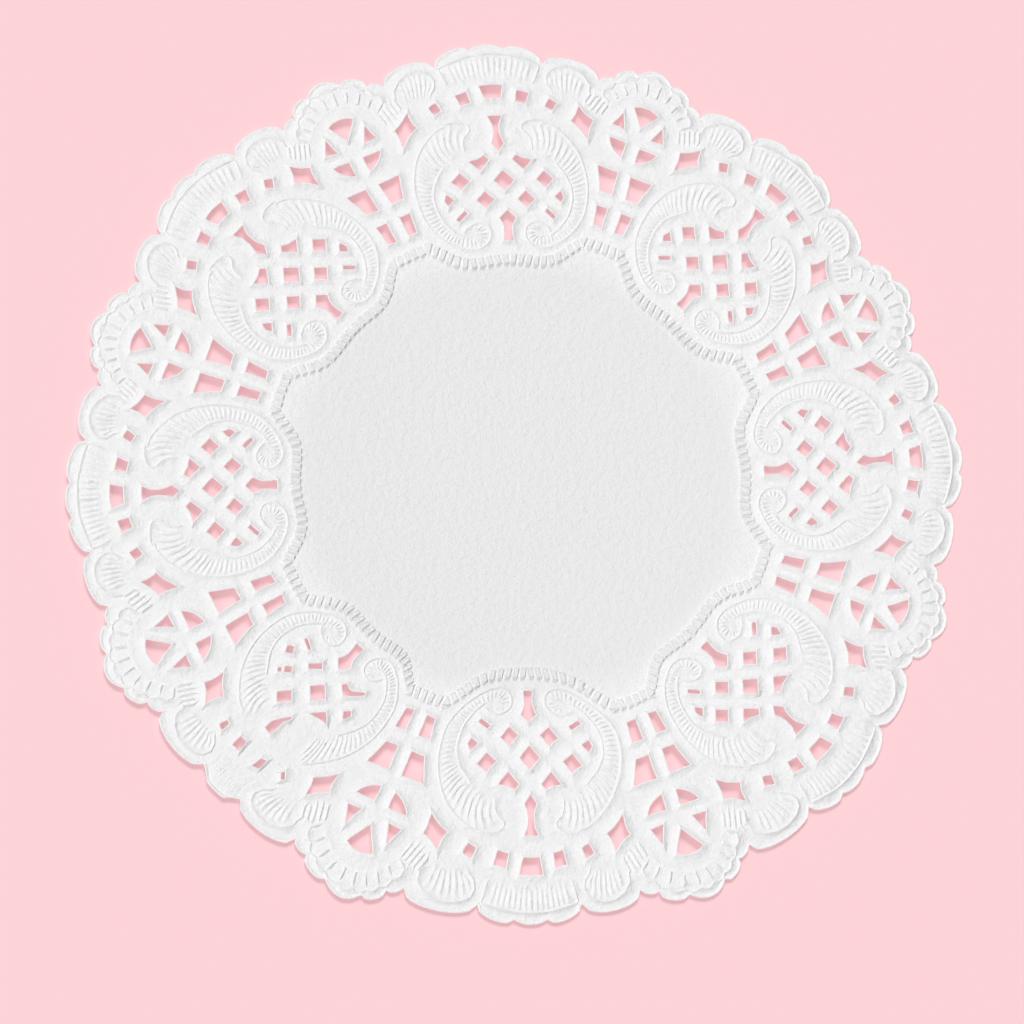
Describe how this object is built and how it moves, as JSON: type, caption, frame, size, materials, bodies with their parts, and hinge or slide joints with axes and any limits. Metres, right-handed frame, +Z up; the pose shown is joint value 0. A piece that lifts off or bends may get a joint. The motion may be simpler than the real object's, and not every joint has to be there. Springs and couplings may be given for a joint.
{
  "type": "paper lace doily",
  "caption": "Round white paper doily, embossed and die-cut as lace, with a plain centre and a scalloped rim.",
  "frame": {"origin": "middle of the underside, on the surface that the doily lies on", "axes": "+Z up through the sheet; +Y from the middle towards the top medallion, which lies 3.2 degrees anticlockwise of it; +X to the right, seen from above"},
  "size_m": [0.2014, 0.2014, 0.0015],
  "materials": {
    "paper": "uncoated white paper, finely grained, matt, embossed"
  },
  "bodies": {
    "root": {"doily": "paper"}
  },
  "joints": []
}
